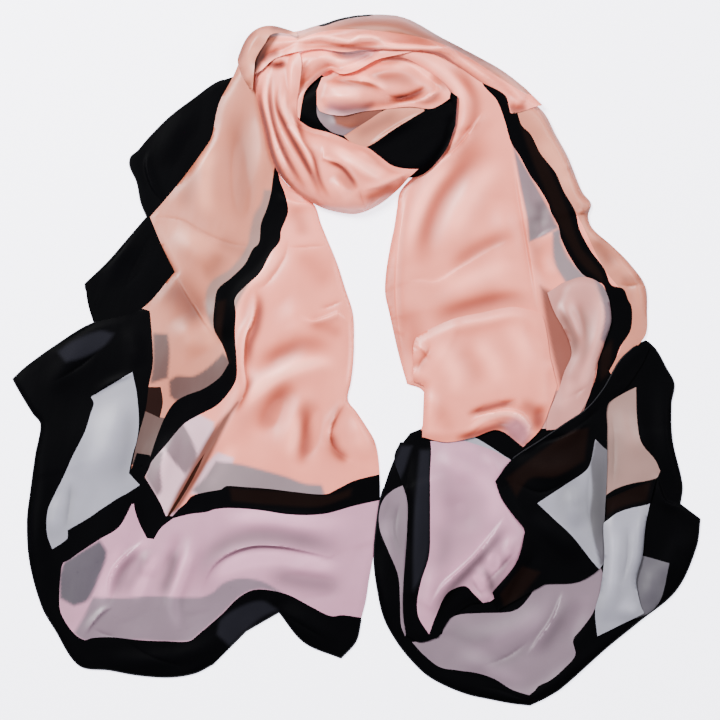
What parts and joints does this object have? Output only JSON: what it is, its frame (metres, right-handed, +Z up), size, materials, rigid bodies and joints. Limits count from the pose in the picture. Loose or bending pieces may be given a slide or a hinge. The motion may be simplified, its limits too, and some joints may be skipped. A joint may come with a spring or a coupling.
{
  "type": "satin scarf",
  "caption": "Long satin scarf laid flat in the form it is worn, wound round the neck opening with its tails spread; peach middle, black bands, lilac ends.",
  "frame": {"origin": "on the table under the middle of the laid scarf", "axes": "+X to the wearer's left as laid out, +Y from the tail ends towards the back of the neck, +Z up off the table"},
  "size_m": [0.8588, 0.8626, 0.0422],
  "materials": {
    "peach_satin": "satin",
    "black_satin": "satin",
    "lilac_satin": "satin",
    "silver_satin": "satin"
  },
  "bodies": {
    "root": {"left_under_layer": "black_satin", "left_hidden_layers": "peach_satin", "left_tail": "peach_satin", "right_end": "black_satin", "right_end_panel": "lilac_satin", "knot_hidden_layers": "peach_satin", "right_tail": "peach_satin", "right_pouch": "peach_satin", "right_hump": "peach_satin", "right_corner_fold": "black_satin", "right_silver_fold": "silver_satin", "neck_inner_layers": "peach_satin", "neck_inner_roll": "peach_satin", "neck_second_roll": "peach_satin", "neck_wrap": "peach_satin", "back_neck_roll": "peach_satin", "left_shoulder_fold": "peach_satin"}
  },
  "joints": []
}
